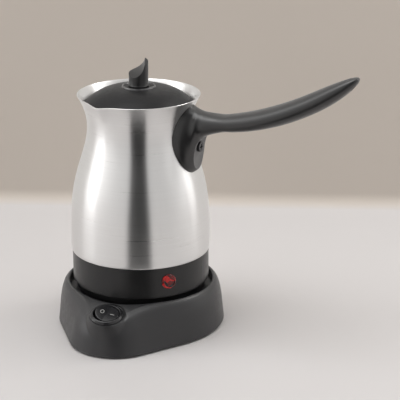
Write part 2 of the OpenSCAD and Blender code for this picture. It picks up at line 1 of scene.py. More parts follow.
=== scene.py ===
from math import acos, atan, cos, pi, radians, sin, sqrt
import bmesh
import bpy
from mathutils import Matrix, Vector
from mathutils.bvhtree import BVHTree


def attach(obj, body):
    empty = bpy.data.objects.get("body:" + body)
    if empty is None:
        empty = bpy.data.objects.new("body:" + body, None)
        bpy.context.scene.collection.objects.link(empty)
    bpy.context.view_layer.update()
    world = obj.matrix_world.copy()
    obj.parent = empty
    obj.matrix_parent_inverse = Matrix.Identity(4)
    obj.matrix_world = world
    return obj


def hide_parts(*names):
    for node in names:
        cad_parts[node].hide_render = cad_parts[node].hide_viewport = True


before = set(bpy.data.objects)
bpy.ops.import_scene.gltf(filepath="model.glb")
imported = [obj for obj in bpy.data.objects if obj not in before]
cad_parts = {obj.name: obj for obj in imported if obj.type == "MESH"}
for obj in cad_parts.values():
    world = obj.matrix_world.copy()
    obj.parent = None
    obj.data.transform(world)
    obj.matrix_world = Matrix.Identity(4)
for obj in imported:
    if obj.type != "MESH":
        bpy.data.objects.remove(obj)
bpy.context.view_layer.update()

scene = bpy.context.scene
scene.view_settings.view_transform = "Standard"

# ---------------------------------------------------------------- camera
# A long lens about 1.1 m away looks down on the coffee maker from the front right, with the
# switch towards the camera and the handle pointing to the right of the picture.
camera_data = bpy.data.cameras.new("product_camera")
camera_data.lens = 135
camera_data.sensor_width = 36
camera = bpy.data.objects.new("product_camera", camera_data)
camera.location = (0.409322, -0.945455, 0.439834)
camera.rotation_euler = (radians(71.307), 0, radians(21))
scene.collection.objects.link(camera)
scene.camera = camera

# ---------------------------------------------------------------- table and wall
# A pale matt table top that runs up into a warm grey wall behind the object in one soft bend.
# Neither belongs to the coffee maker; they only carry its shadow and its reflections.
wall_away = Vector((-0.3172, 0.9484, 0))
wall_along = Vector((0.9484, 0.3172, 0))
wall_distance, cove_radius, sweep_width = 0.262, 0.012, 5.2
sweep = bmesh.new()
profile = [(-2.4, 0.0), (-0.6, 0.0), (wall_distance - cove_radius, 0.0)]
profile += [(wall_distance - cove_radius * (1 - sin(radians(a))),
             cove_radius * (1 - cos(radians(a)))) for a in range(10, 90, 10)]
profile += [(wall_distance, cove_radius), (wall_distance, 2.2)]
rail = [sweep.verts.new(wall_away * d + Vector((0, 0, z)) - wall_along * (sweep_width / 2))
        for d, z in profile]
rail_edges = [sweep.edges.new((a, b)) for a, b in zip(rail, rail[1:])]
pulled = bmesh.ops.extrude_edge_only(sweep, edges=rail_edges)["geom"]
bmesh.ops.translate(sweep, vec=wall_along * sweep_width,
                    verts=[g for g in pulled if isinstance(g, bmesh.types.BMVert)])
# The lit side is the front: the table's faces look up.
bmesh.ops.recalc_face_normals(sweep, faces=sweep.faces)
if min(sweep.faces, key=lambda f: f.calc_center_median().z).normal.z < 0:
    bmesh.ops.reverse_faces(sweep, faces=sweep.faces)
sweep_mesh = bpy.data.meshes.new("studio_sweep")
sweep.to_mesh(sweep_mesh)
sweep.free()
sweep_mesh.polygons.foreach_set("use_smooth", [True] * len(sweep_mesh.polygons))
backdrop = bpy.data.objects.new("studio_sweep", sweep_mesh)
scene.collection.objects.link(backdrop)

def fill(tree, node, inputs):
    """Give inputs of a node their values, or links where a socket is given."""
    for key, value in inputs.items():
        if isinstance(value, bpy.types.NodeSocket):
            tree.links.new(value, node.inputs[key])
        else:
            node.inputs[key].default_value = value

def put(tree, kind, inputs=None, **settings):
    """Add a shader node with its settings and inputs."""
    node = tree.nodes.new("ShaderNode" + kind)
    for name, value in settings.items():
        setattr(node, name, value)
    fill(tree, node, inputs or {})
    return node

def maths(tree, operation, *values):
    """One step of arithmetic on numbers and sockets."""
    return put(tree, "Math", dict(enumerate(values)), operation=operation).outputs["Value"]

def mix(tree, factor, first, second):
    """A colour between the first (factor 0) and the second (factor 1)."""
    made = put(tree, "Mix", {"Factor": factor, "A": first, "B": second}, data_type="RGBA")
    return made.outputs["Result"]

def ramp(tree, value, low, high, start=0.0, end=1.0, kind="LINEAR"):
    """Carry a value from the range low to high over to the range start to end."""
    made = put(tree, "MapRange", {"Value": value, "From Min": low, "From Max": high,
                                  "To Min": start, "To Max": end}, interpolation_type=kind)
    return made.outputs["Result"]

to_camera = radians(69)

def bearing(tree, direction):
    """Angle about the vertical from the camera's side of the room to a direction."""
    spun = put(tree, "VectorRotate", {"Vector": direction, "Angle": to_camera},
               rotation_type="Z_AXIS").outputs["Vector"]
    axes = put(tree, "SeparateXYZ", {"Vector": spun}).outputs
    return maths(tree, "ARCTAN2", axes["Y"], axes["X"])

def new_material(name):
    """A material with its node tree and its shader."""
    material = bpy.data.materials.new(name)
    material.use_nodes = True
    return material, material.node_tree, material.node_tree.nodes["Principled BSDF"]

table_grey, wall_grey = (0.62, 0.605, 0.605, 1), (0.6, 0.542, 0.484, 1)
# Colours of painted reflection, seen by glossy rays only: near white for the wall, near black for
# the table.
painted_reflection_white, painted_reflection_dark = (0.93, 0.92, 0.9, 1), (0.004, 0.004, 0.004, 1)
backdrop_paint, tree, shader = new_material("table_and_wall")
place = put(tree, "TexCoord").outputs["Object"]
depth = put(tree, "VectorMath", {0: place, 1: wall_away}, operation="DOT_PRODUCT")
on_wall = ramp(tree, depth.outputs["Value"], wall_distance - 0.013, wall_distance - 0.001,
               kind="SMOOTHSTEP")
paint = mix(tree, on_wall, table_grey, wall_grey)
# Painted reflection: to glossy rays only, the wall is painted near white, as a bright screen, and
# the table in front of the object, from a little way off, near black, as dark as the room behind
# the camera.
glossy = put(tree, "LightPath").outputs["Is Glossy Ray"]
paint = mix(tree, maths(tree, "MULTIPLY", on_wall, glossy), paint, painted_reflection_white)
in_aisle = ramp(tree, maths(tree, "ABSOLUTE", bearing(tree, place)), radians(22), radians(13),
                kind="SMOOTHSTEP")
flat = put(tree, "VectorMath", {0: place, 1: (1, 1, 0)}, operation="MULTIPLY")
from_axis = put(tree, "VectorMath", {0: flat.outputs["Vector"]}, operation="LENGTH")
beyond = ramp(tree, from_axis.outputs["Value"], 0.09, 0.15, kind="SMOOTHSTEP")
painted_dark_reflection_zone = maths(tree, "MULTIPLY", in_aisle, beyond)
paint = mix(tree, maths(tree, "MULTIPLY", painted_dark_reflection_zone, glossy), paint, painted_reflection_dark)
fill(tree, shader, {"Base Color": paint, "Roughness": 0.6})
# Seen from behind or from below, the sweep is clear, so that it never hides the object.
either = put(tree, "MixShader", {"Fac": put(tree, "NewGeometry").outputs["Backfacing"],
                                 1: shader.outputs["BSDF"],
                                 2: put(tree, "BsdfTransparent").outputs["BSDF"]})
fill(tree, tree.nodes["Material Output"], {"Surface": either.outputs["Shader"]})
backdrop.data.materials.append(backdrop_paint)

# ---------------------------------------------------------------- lamps
# Two tall soft boxes stand left and right of the object, a small one lights the neck from
# behind and one hangs above. The room is pale, but dark behind the camera, which polished steel
# shows as a dark stripe.
def soft_box(name, direction, height, distance, size, watts, tint=(1, 1, 1)):
    """A rectangular lamp aimed at the object, placed by its direction in degrees."""
    data = bpy.data.lights.new(name, "AREA")
    data.shape = "RECTANGLE"
    data.size, data.size_y = size
    data.energy = watts
    data.color = tint
    lamp = bpy.data.objects.new(name, data)
    a = radians(direction)
    lamp.location = (distance * cos(a), distance * sin(a), height)
    aim = Vector((0, 0, 0.09)) - lamp.location
    lamp.rotation_euler = aim.to_track_quat("-Z", "Y").to_euler()
    scene.collection.objects.link(lamp)

soft_box("soft_box_left", -166, height=0.55, distance=1.3, size=(1.1, 1.9), watts=6.8)
soft_box("soft_box_right", 33, height=0.45, distance=0.7, size=(0.34, 1.2), watts=1.3,
         tint=(1, 0.99, 0.98))
soft_box("soft_box_back", 48, height=0.62, distance=0.48, size=(0.2, 0.2), watts=1.0,
         tint=(1, 0.98, 0.95))
soft_box("soft_box_top", -150, height=1.7, distance=0.4, size=(1.2, 1.2), watts=12)

room = bpy.data.worlds.new("studio_room")
scene.world = room
room.use_nodes = True
tree = room.node_tree
# Within 12 degrees of the camera the room is dark; it is brightest at the far left.
toward = bearing(tree, put(tree, "TexCoord").outputs["Generated"])
off_camera = ramp(tree, maths(tree, "ABSOLUTE", toward), radians(12), radians(20),
                  kind="SMOOTHSTEP")
left_glow = ramp(tree, toward, radians(-30), radians(-90), 0.66, 1.3, "SMOOTHSTEP")
right_glow = ramp(tree, toward, radians(45), radians(90), 0.0, 0.45, "SMOOTHSTEP")
glow = maths(tree, "MULTIPLY", off_camera, maths(tree, "ADD", left_glow, right_glow))
fill(tree, tree.nodes["Background"], {"Strength": glow, "Color": (1, 0.985, 0.97, 1)})

# ---------------------------------------------------------------- base casing
# The upper casing of the base: one injection moulding in dark grey ABS with a fine spark-eroded
# texture. It holds the well the pot stands in and a sloped lobe with a collar round the switch.
def surface_group(name, inputs):
    """An empty node group for a surface, with its input sockets and its output node."""
    tree = bpy.data.node_groups.new(name, "ShaderNodeTree")
    for socket, value in inputs.items():
        kind = "NodeSocketFloat" if isinstance(value, float) else "NodeSocketColor"
        made = tree.interface.new_socket(socket, in_out="INPUT", socket_type=kind)
        made.default_value = value
    for socket, kind in (("Colour", "NodeSocketColor"), ("Roughness", "NodeSocketFloat"),
                         ("Height", "NodeSocketFloat")):
        tree.interface.new_socket(socket, in_out="OUTPUT", socket_type=kind)
    return tree, tree.nodes.new("NodeGroupInput").outputs, tree.nodes.new("NodeGroupOutput")

def noise(tree, where, scale, detail=2.0, distortion=0.0):
    """A soft noise about one half, with so many cells to the metre."""
    made = put(tree, "TexNoise", {"Vector": where, "Scale": scale, "Detail": detail,
                                  "Distortion": distortion})
    return made.outputs["Fac"]

def surfaced(name, group, inputs, relief, fixed):
    """A material whose colour, roughness and relief come from a surface group."""
    material, tree, shader = new_material(name)
    skin = put(tree, "Group", inputs, node_tree=group).outputs
    bump = put(tree, "Bump", {"Strength": 1.0, "Distance": relief, "Height": skin["Height"]})
    fill(tree, shader, {"Base Color": skin["Colour"], "Roughness": skin["Roughness"],
                        "Normal": bump.outputs["Normal"], **fixed})
    return material

# Texture of a moulded plastic or rubber: fine grain, faint cloudiness and handling marks.
moulded_skin, given, result = surface_group("moulded_skin", {
    "Colour": (0.05, 0.05, 0.05, 1), "Cloud Colour": (0.07, 0.07, 0.07, 1),
    "Grain Size": 0.0006, "Smooth": 0.35, "Rough": 0.5})
where = put(moulded_skin, "TexCoord").outputs["Object"]
grain = noise(moulded_skin, where, maths(moulded_skin, "DIVIDE", 1.0, given["Grain Size"]), 3)
cloud = noise(moulded_skin, where, 38, 4)
handling = noise(moulded_skin, where, 160, 6, 1.2)
tone = maths(moulded_skin, "MULTIPLY_ADD", grain, 0.45,
             maths(moulded_skin, "MULTIPLY", cloud, 0.55))
fill(moulded_skin, result, {
    "Colour": mix(moulded_skin, tone, given["Colour"], given["Cloud Colour"]),
    "Roughness": ramp(moulded_skin, handling, 0.3, 0.7, given["Smooth"], given["Rough"]),
    "Height": grain})

def moulded(name, colour, cloud, smooth, rough, grain=0.0006, relief=0.00002, shine=0.5):
    """A plastic or rubber moulding's material."""
    return surfaced(name, moulded_skin,
                    {"Colour": (*colour, 1), "Cloud Colour": (*cloud, 1), "Grain Size": grain,
                     "Smooth": smooth, "Rough": rough}, relief, {"Specular IOR Level": shine})

def smooth_path(points, steps):
    """Points on a smooth curve through the given points, steps to each stretch."""
    points = [Vector(p) for p in points]
    out = []
    for i in range(len(points) - 1):
        a, b = points[i], points[i + 1]
        before = points[i - 1] if i else a + (a - b)
        after = points[i + 2] if i + 2 < len(points) else b + (b - a)
        for k in range(steps):
            t = k / steps
            out.append(0.5 * (2 * a + (b - before) * t
                              + (2 * before - 5 * a + 4 * b - after) * t * t
                              + (3 * a - 3 * b + after - before) * t ** 3))
    return out + [points[-1]]

def raise_ring(bm, ring, places):
    """Extrude a closed ring of vertices once and put the new ring at the given places."""
    edges = [bm.edges.get((a, b)) for a, b in zip(ring, ring[1:] + ring[:1])]
    made = bmesh.ops.extrude_edge_only(bm, edges=edges)["geom"]
    new = {g for g in made if isinstance(g, bmesh.types.BMVert)}
    out = []
    for vertex, place in zip(ring, places):
        lifted = next(e.other_vert(vertex) for e in vertex.link_edges
                      if e.other_vert(vertex) in new)
        lifted.co = place
        out.append(lifted)
    return out

def loft(bm, rows, close=False):
    """A skin through rows of places; close joins the last row to the first."""
    first = bmesh.ops.create_circle(bm, segments=len(rows[0]), radius=1)["verts"]
    for vertex, place in zip(first, rows[0]):
        vertex.co = place
    ring = first
    for row in rows[1:]:
        ring = raise_ring(bm, ring, row)
    if close:
        edges = [bm.edges.get((a, b)) for r in (first, ring) for a, b in zip(r, r[1:] + r[:1])]
        bmesh.ops.bridge_loops(bm, edges=edges)
    return first, ring

def settle(bm):
    """Put the faces in the order of their vertices, so that each run gives the same mesh."""
    bm.verts.index_update()
    count = len(bm.verts)
    def rank(face):
        a, b, c = sorted(v.index for v in face.verts)[:3]
        return (a * count + b) * count + c
    bm.faces.sort(key=rank)

def finish_piece(name, bm, body, material, replaced=(), crease=32, at=None):
    """Turn a bmesh (in millimetres, put in place by at) into a named piece on a body."""
    if at is not None:
        bmesh.ops.transform(bm, matrix=at, verts=bm.verts)
    bmesh.ops.remove_doubles(bm, verts=bm.verts, dist=0.0005)
    bmesh.ops.recalc_face_normals(bm, faces=bm.faces)
    bmesh.ops.scale(bm, vec=(0.001, 0.001, 0.001), verts=bm.verts)
    settle(bm)
    mesh = bpy.data.meshes.new(name)
    bm.to_mesh(mesh)
    bm.free()
    mesh.polygons.foreach_set("use_smooth", [True] * len(mesh.polygons))
    mesh.set_sharp_from_angle(angle=radians(crease))
    piece = bpy.data.objects.new(name, mesh)
    scene.collection.objects.link(piece)
    mesh.materials.append(material)
    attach(piece, body)
    if replaced:
        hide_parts(*replaced)
    return piece

def solid_object(name, bm):
    """A loose object of a closed solid, with two material numbers."""
    bmesh.ops.recalc_face_normals(bm, faces=bm.faces)
    settle(bm)
    mesh = bpy.data.meshes.new(name)
    mesh.materials.append(None)
    mesh.materials.append(None)
    bm.to_mesh(mesh)
    bm.free()
    thing = bpy.data.objects.new(name, mesh)
    scene.collection.objects.link(thing)
    return thing

def carved(bm, *cutters):
    """The solid bm without each cutter; a cut face keeps the material number of its cutter."""
    blank = solid_object("blank", bm)
    tools = [solid_object("cutter", cutter) for cutter in cutters]
    for tool in tools:
        step = blank.modifiers.new("cut", "BOOLEAN")
        step.operation, step.solver, step.object = "DIFFERENCE", "EXACT", tool
    bpy.context.view_layer.update()
    result = blank.evaluated_get(bpy.context.evaluated_depsgraph_get()).to_mesh()
    out = bmesh.new()
    out.from_mesh(result)
    blank.to_mesh_clear()
    for thing in [blank] + tools:
        data = thing.data
        bpy.data.objects.remove(thing)
        bpy.data.meshes.remove(data)
    return out

def capped(rows):
    """A closed solid through rows of places."""
    bm = bmesh.new()
    for ring in loft(bm, rows):
        bmesh.ops.contextual_create(bm, geom=ring)
    return bm

def rod(radius, depth, segments, matrix, bm=None):
    """A cylinder centred on a matrix and along its z axis, by itself or added to bm."""
    bm = bmesh.new() if bm is None else bm
    bmesh.ops.create_cone(bm, cap_ends=True, segments=segments, radius1=radius,
                          radius2=radius, depth=depth, matrix=matrix)
    return bm

def circle(count):
    """Cosine and sine of even steps round a circle."""
    return [(cos(2 * pi * k / count), sin(2 * pi * k / count)) for k in range(count)]

base_r, lobe_r, lobe_y, bottom_z, crown_z = 61.0, 34.5, 44.8, 1.2, 32.9
well_r, floor_z, casing_t, shoulder_w = 52.0, 26.0, 2.4, 7
half_lobe = acos((base_r - lobe_r) / lobe_y)
lobe_centre = Vector((0, -lobe_y))

def casing_outline():
    """The plan of the base: a large round part and a small one joined by straight flanks."""
    bm = bmesh.new()
    bmesh.ops.create_circle(bm, segments=260, radius=1)
    for v in bm.verts:
        out = v.co.xy.normalized()
        on_lobe = out.y < -cos(half_lobe)
        v.co.xy = lobe_centre + lobe_r * out if on_lobe else base_r * out
    longest = sorted(bm.edges, key=lambda e: -e.calc_length())[:2]
    bmesh.ops.subdivide_edges(bm, edges=longest, cuts=20)
    vertex = max(bm.verts, key=lambda v: v.co.y)
    walk, seen = [vertex], {vertex}
    while True:
        nearby = [e.other_vert(walk[-1]) for e in walk[-1].link_edges]
        onward = [v for v in nearby if v not in seen]
        if not onward:
            break
        walk.append(min(onward, key=lambda v: v.co.x) if len(walk) == 1 else onward[0])
        seen.add(walk[-1])
    places = [v.co.xy.copy() for v in walk]
    bm.free()
    return places

def outline_normal(p):
    """The outward direction across the plan's edge at a place on it."""
    flank = Vector((sin(half_lobe), -cos(half_lobe)))
    if p.y >= base_r * flank.y - 1e-6:
        return p.normalized()
    if p.y <= lobe_centre.y + lobe_r * flank.y + 1e-6:
        return (p - lobe_centre).normalized()
    return Vector((flank.x if p.x > 0 else -flank.x, flank.y))

def casing_top(y):
    """Height of the casing's top, which slopes down over the lobe."""
    return crown_z - 0.0095 * max(0.0, -y - 40.0) ** 2

plan = [(p, outline_normal(p)) for p in casing_outline()]
wall_curve = smooth_path([(0, 0.02), (0.3, 0.1), (0.95, 0.3), (1.7, 0.53), (2.6, 0.71),
                          (4.1, 0.87), (5.4, 0.944), (shoulder_w, 0.984)], 5)

def widening(p):
    """The shoulder is rounder along the flanks, where the lobe leaves room for it."""
    room = min(1.0, (p.length - base_r) / (lobe_y + lobe_r - base_r))
    return 1 + 2.9 * max(0.0, room) * (1 - room)

def wall_row(inset, share, thick=0.0):
    """A row on the side, at a share of the height there; thick puts it inside the casing."""
    row = []
    for p, n in plan:
        q = p - n * (inset * widening(p) + thick)
        row.append((q.x, q.y, bottom_z + (casing_top(q.y) - thick - bottom_z) * share))
    return row

def crown_row(s, radius, drop, thick=0.0):
    """A row on the top, from the shoulder (s = 0) to a circle round the pot's axis (s = 1)."""
    row = []
    for p, n in plan:
        q = p - n * (shoulder_w * widening(p) + thick)
        m = q.lerp(q.normalized() * radius, s)
        row.append((m.x, m.y, casing_top(m.y) - drop - thick))
    return row

def level_row(radius, z):
    """A level circle, with its vertices in line with the plan's."""
    return [(p.normalized().x * radius, p.normalized().y * radius, z) for p, n in plan]

rows = [wall_row(0.55, 0.0), wall_row(0.12, 0.006)]
rows += [wall_row(w.x, w.y) for w in wall_curve]
rows += [crown_row(s, 53.4, d) for s, d in ((0.08, 0.24), (0.18, 0.08), (0.3, 0.02), (0.42, 0),
                                            (0.55, 0), (0.68, 0), (0.8, 0), (0.9, 0), (1.0, 0))]
rows += [crown_row(1, well_r + r, d) for r, d in ((1.0, 0.08), (0.62, 0.28), (0.3, 0.62),
                                                  (0.1, 1.05), (0.0, 1.6))]
rows += [level_row(r, floor_z + rise) for r, rise in (
    (well_r, 0.8), (well_r - 0.25, 0.25), (well_r - 0.9, 0), (30, 0), (13.7, 0), (13.4, -0.3),
    (13.4, -2.2), (30, -2.2), (53.2, -2.2), (53.6, -1.8))]
rows += [crown_row(s, 53.7, 0.2, casing_t) for s in (1.0, 0.75, 0.5, 0.25)]
rows += [wall_row(w.x, w.y, casing_t) for w in reversed(wall_curve[2::4])]
rows += [wall_row(0, 0, casing_t)]
casing = bmesh.new()
loft(casing, rows, close=True)

# The switch sits on a tilted round collar that grows out of the lobe in a soft fillet.
switch_frame = (Matrix.Translation((1.4, -65.3, 27)) @ Matrix.Rotation(radians(5), 4, "Y")
                @ Matrix.Rotation(radians(13), 4, "X"))
settle(casing)
surface = BVHTree.FromBMesh(casing)
switch_down = (switch_frame.to_3x3() @ Vector((0, 0, -1))).normalized()

def casing_depth(radius, a):
    """Height of the casing's skin in the switch's frame, straight below a place beside it."""
    start = switch_frame @ Vector((radius * cos(a), radius * sin(a), 6))
    hit = surface.ray_cast(start, switch_down)[0]
    return 6 - (hit - start).length if hit else -12.0

# Round the switch: how far the collar reaches, more at its front and on its right, and the
# height and slope of the casing where it ends.
collar_turns, switch_hole, collar_top = 128, 10.35, 12.3
collar_edges = []
for i in range(collar_turns):
    a = 2 * pi * i / collar_turns
    front = (1 - sin(a)) / 2
    reach = 12.75 + 2.2 * min(1, front * 1.6) ** 1.2 + 1.6 * max(0, cos(a)) * min(1, front * 1.8)
    depth = casing_depth(reach, a)
    slope = (casing_depth(reach + 0.3, a) - depth) / 0.3
    collar_edges.append((a, front, reach, depth, max(-1.6, min(0.4, slope))))

def collar_row(place):
    """A row round the switch; place gives radius and height for front, reach, depth, slope."""
    row = []
    for a, front, reach, depth, slope in collar_edges:
        radius, height = place(front, reach, depth, slope)
        row.append(switch_frame @ Vector((radius * cos(a), radius * sin(a), height)))
    return row

def fillet(t):
    """The collar's side, from its top edge (t = 0) to where it meets the casing (t = 1)."""
    def place(front, reach, depth, slope):
        run = reach - collar_top
        height = depth * (3 * t * t - 2 * t ** 3) + slope * run * (t ** 3 - t * t)
        return collar_top + run * t ** 1.15, height + 0.03 * t
    return place

collar = bmesh.new()
collar_places = [lambda f, r, d, s: (switch_hole, 0), lambda f, r, d, s: (11.9, 0)]
collar_places += [fillet(k / 14) for k in range(15)]
collar_places += [lambda f, r, d, s: (r, d - 0.5), lambda f, r, d, s: (r - 0.5, d - 1.2 - f),
                  lambda f, r, d, s: (12.2, min(-1.2 - 3.2 * f, 0.4 * d - 1.2)),
                  lambda f, r, d, s: (switch_hole, -1.2 - 3.6 * f)]
loft(collar, [collar_row(place) for place in collar_places], close=True)
opening = capped([collar_row(place) for place in (
    lambda f, r, d, s: (r - 0.35, 14), lambda f, r, d, s: (r - 0.35, d - 1.0 - 0.8 * f),
    lambda f, r, d, s: (10.3, -1.1 - 3.4 * f), lambda f, r, d, s: (9.4, -5.2),
    lambda f, r, d, s: (9.4, -15))])
cord_way = rod(5, 20, 48, Matrix.Translation((0, 60, 9.5)) @ Matrix.Rotation(pi / 2, 4, "X"))
casing = carved(casing, opening, cord_way)
# Four hollow posts under the floor take the cover's screws, and the collar joins the casing.
for x, y in ((32, 24), (-32, 24), (28, -28), (-28, -28)):
    ring = bmesh.ops.create_circle(casing, segments=32, radius=3.6,
                                   matrix=Matrix.Translation((x, y, 24)))["verts"]
    for radius, z in ((3.6, 3.5), (1.5, 3.5), (1.5, 16)):
        ring = raise_ring(casing, ring, [(x + radius * c, y + radius * s, z)
                                         for c, s in circle(32)])
collar_mesh = bpy.data.meshes.new("collar")
bmesh.ops.recalc_face_normals(collar, faces=collar.faces)
collar.to_mesh(collar_mesh)
collar.free()
casing.from_mesh(collar_mesh)
bpy.data.meshes.remove(collar_mesh)
casing_plastic = moulded("casing_plastic", (0.022, 0.022, 0.0235), (0.032, 0.032, 0.034),
                         0.32, 0.42, grain=0.0005, relief=0.00003)
finish_piece("base_casing", casing, "base", casing_plastic, ("base_shell",))

# ---------------------------------------------------------------- underside of the base
# A flat cover screwed on from below closes the casing, with a soft ring foot and two pads that
# keep the base from sliding. A bushing guards the cord's hole at the back.
def dress(material, *nodes):
    """Give CAD nodes their material."""
    for node in nodes:
        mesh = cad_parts[node].data
        mesh.materials.clear()
        mesh.materials.append(material)

cover_plastic = moulded("cover_plastic", (0.028, 0.028, 0.03), (0.04, 0.04, 0.042), 0.45, 0.6,
                        grain=0.0007, relief=0.00004)
dress(cover_plastic, "base_cover", "inlet_bushing")
foot_rubber = moulded("foot_rubber", (0.022, 0.021, 0.02), (0.035, 0.034, 0.033), 0.7, 0.9,
                      grain=0.0009, relief=0.00005)
dress(foot_rubber, "base_feet")

def stretched(tree, where, scale):
    """Coordinates scaled by axis; a large scale along z makes lines round the axis."""
    return put(tree, "Mapping", {"Vector": where, "Scale": scale}).outputs["Vector"]

# Surface of a small metal part: rolled lines and cloudy tarnish.
worn_metal, given, result = surface_group("worn_metal", {
    "Clean": (0.7, 0.7, 0.7, 1), "Tarnish": (0.4, 0.4, 0.4, 1), "Cloud Size": 0.004,
    "Smooth": 0.25, "Rough": 0.45})
where = put(worn_metal, "TexCoord").outputs["Object"]
cloud = noise(worn_metal, where, maths(worn_metal, "DIVIDE", 1.0, given["Cloud Size"]), 5)
patch = ramp(worn_metal, cloud, 0.35, 0.7)
fill(worn_metal, result, {
    "Colour": mix(worn_metal, patch, given["Clean"], given["Tarnish"]),
    "Roughness": ramp(worn_metal, cloud, 0.0, 1.0, given["Smooth"], given["Rough"]),
    "Height": noise(worn_metal, stretched(worn_metal, where, (900, 900, 9000)), 1.0, 2)})

def metal(name, clean, tarnish, smooth, rough, cloud=0.004):
    """A small metal part's material."""
    return surfaced(name, worn_metal,
                    {"Clean": (*clean, 1), "Tarnish": (*tarnish, 1), "Cloud Size": cloud,
                     "Smooth": smooth, "Rough": rough}, 0.00001, {"Metallic": 1.0})

zinc = metal("zinc_plated_steel", (0.62, 0.63, 0.64), (0.45, 0.46, 0.47), 0.25, 0.45)
dress(zinc, "base_screws", "conn_screws", "pot_screws", "knob_screw", "fuse_clip",
      "handle_bracket")

# ---------------------------------------------------------------- connector and wiring
# A plastic post in the middle of the well carries a brass ring and a brass pin. Three insulated
# leads run from the terminal block to the connector and the switch, under the well's floor.
post_plastic = moulded("post_plastic", (0.03, 0.03, 0.032), (0.045, 0.045, 0.047), 0.35, 0.5)
dress(post_plastic, "conn_post", "socket_housing", "pilot_holder")
terminal_plastic = moulded("terminal_plastic", (0.62, 0.6, 0.52), (0.7, 0.68, 0.6), 0.35, 0.5)
dress(terminal_plastic, "terminal_block")
brass = metal("brass_strip", (0.72, 0.5, 0.2), (0.42, 0.28, 0.11), 0.22, 0.42, cloud=0.003)
dress(brass, "conn_ring", "conn_pin", "switch_blades", "switch_arm", "socket_ring",
      "socket_pin", "element_pins")
lead_red = moulded("lead_insulation", (0.16, 0.05, 0.03), (0.22, 0.07, 0.045), 0.4, 0.55)
dress(lead_red, "base_leads")

# ---------------------------------------------------------------- switch
# A round panel switch snapped into the collar: a glossy black bezel with a rocker disc that tips
# about a pin, a spring plunger under it and two white printed marks for off and on.
def turned(profile, steps):
    """Spin an open profile of (radius, height) into a full round form."""
    bm = bmesh.new()
    line = [bm.verts.new((r, 0, z)) for r, z in profile]
    edges = [bm.edges.new((a, b)) for a, b in zip(line, line[1:])]
    bmesh.ops.spin(bm, geom=line + edges, cent=(0, 0, 0), axis=(0, 0, 1), angle=2 * pi,
                   steps=steps, use_merge=True)
    bmesh.ops.remove_doubles(bm, verts=bm.verts, dist=0.0005)
    return bm

bezel = turned([(0, -11.5), (9.3, -11.5), (9.3, -5.1), (10.2, -5.1), (10.2, 0.05), (11.5, 0.05),
                (11.75, 0.2), (11.8, 0.5), (11.75, 0.85), (11.5, 1.25), (11.1, 1.7),
                (10.75, 2.02), (10.4, 2.2), (10.0, 2.25), (9.6, 2.18), (9.35, 1.95), (9.22, 1.5),
                (9.2, -4.0), (7.9, -4.0), (7.9, -9.5), (0, -9.5)], 128)
gloss_black = moulded("switch_gloss_black", (0.012, 0.012, 0.013), (0.018, 0.018, 0.02),
                      0.16, 0.24, grain=0.0012, relief=0.000004)
finish_piece("switch_bezel", bezel, "base", gloss_black, ("switch_housing",),
             at=switch_frame)

rocker_tip = radians(7)
rocker_frame = (switch_frame @ Matrix.Translation((0, 0, -2.4))
                @ Matrix.Rotation(rocker_tip, 4, "Y"))

def rocker_top(x, drop=0.0):
    """Height of the disc's top, which folds into a shallow valley over the axle."""
    return 4.4 / cos(rocker_tip) + sqrt(x * x + 0.04) * (sin(rocker_tip) / cos(rocker_tip)) - drop

around = circle(96)
rows = [[(r * c, r * s, z) for c, s in around] for r, z in ((7.0, 0), (8.3, 0), (8.45, 0.2))]
for r, drop in ((8.45, 0.55), (8.41, 0.3), (8.3, 0.12), (8.1, 0.02), (7.9, 0), (7.2, 0), (6.2, 0),
                (5, 0), (3.8, 0), (2.6, 0), (1.4, 0), (0.5, 0)):
    rows.append([(r * c, r * s, rocker_top(r * c, drop)) for c, s in around])
rocker = capped(rows)
rod(1.05, 17.2, 24, Matrix.Rotation(pi / 2, 4, "X"), rocker)
rod(2.6, 3.4, 32, Matrix.Translation((0, 0, -1.7)), rocker)
finish_piece("switch_rocker_disc", rocker, "rocker", gloss_black,
             ("switch_rocker",), crease=40, at=rocker_frame)
marks = bmesh.new()
ring_x, dash_x, print_t = -3.7, 3.8, 0.04
loft(marks, [[(rx * c + ring_x, ry * s, rocker_top(rx * c + ring_x) + lift) for c, s in around]
             for rx, ry, lift in ((1.4, 1.95, 0), (1.4, 1.95, print_t), (0.95, 1.5, print_t),
                                  (0.95, 1.5, 0))], close=True)
dash = bmesh.ops.create_cube(marks, size=1, matrix=Matrix.Translation((dash_x, 0, 0))
                             @ Matrix.Diagonal((3.1, 0.6, print_t, 1)))["verts"]
for v in dash:
    v.co.z += rocker_top(v.co.x) + print_t / 2
print_white = moulded("printed_white", (0.46, 0.46, 0.45), (0.36, 0.36, 0.35), 0.4, 0.5)
finish_piece("printed_marks", marks, "rocker", print_white, ("rocker_marks",),
             at=rocker_frame)
plunger_nylon = moulded("plunger_nylon", (0.7, 0.68, 0.6), (0.62, 0.6, 0.52), 0.3, 0.45)
dress(plunger_nylon, "rocker_plunger")

# ---------------------------------------------------------------- steel pot
# Deep-drawn stainless steel, 0.8 mm thick: a round belly, a narrow neck, a flared rim and a lip
# pressed out about a quarter turn from the handle. It is brushed round its axis, inside and out.
pot_turn, spout_dir = radians(-4.3), radians(-102)
pot_frame = Matrix.Rotation(pot_turn, 4, "Z")
belly_r, neck_r, rim_r = 50.3, 37.1, 43.9
steel_z, belly_z, neck_z, rim_z, steel_t = 56.5, 62.0, 148.5, 171.2, 0.8
lip_z, lip_reach, lip_dip = 157.0, 3.08, 1.5

def pot_r(z):
    """Outer radius of the pot at a height."""
    if z < belly_z:
        return belly_r - 0.3 * (belly_z - z) / (belly_z - steel_z)
    if z < neck_z:
        return neck_r + (belly_r - neck_r) / 2 * (
            1 + cos(pi * ((z - belly_z) / (neck_z - belly_z)) ** 1.7))
    return neck_r + (rim_r - neck_r) * ((z - neck_z) / (rim_z - neck_z)) ** 2

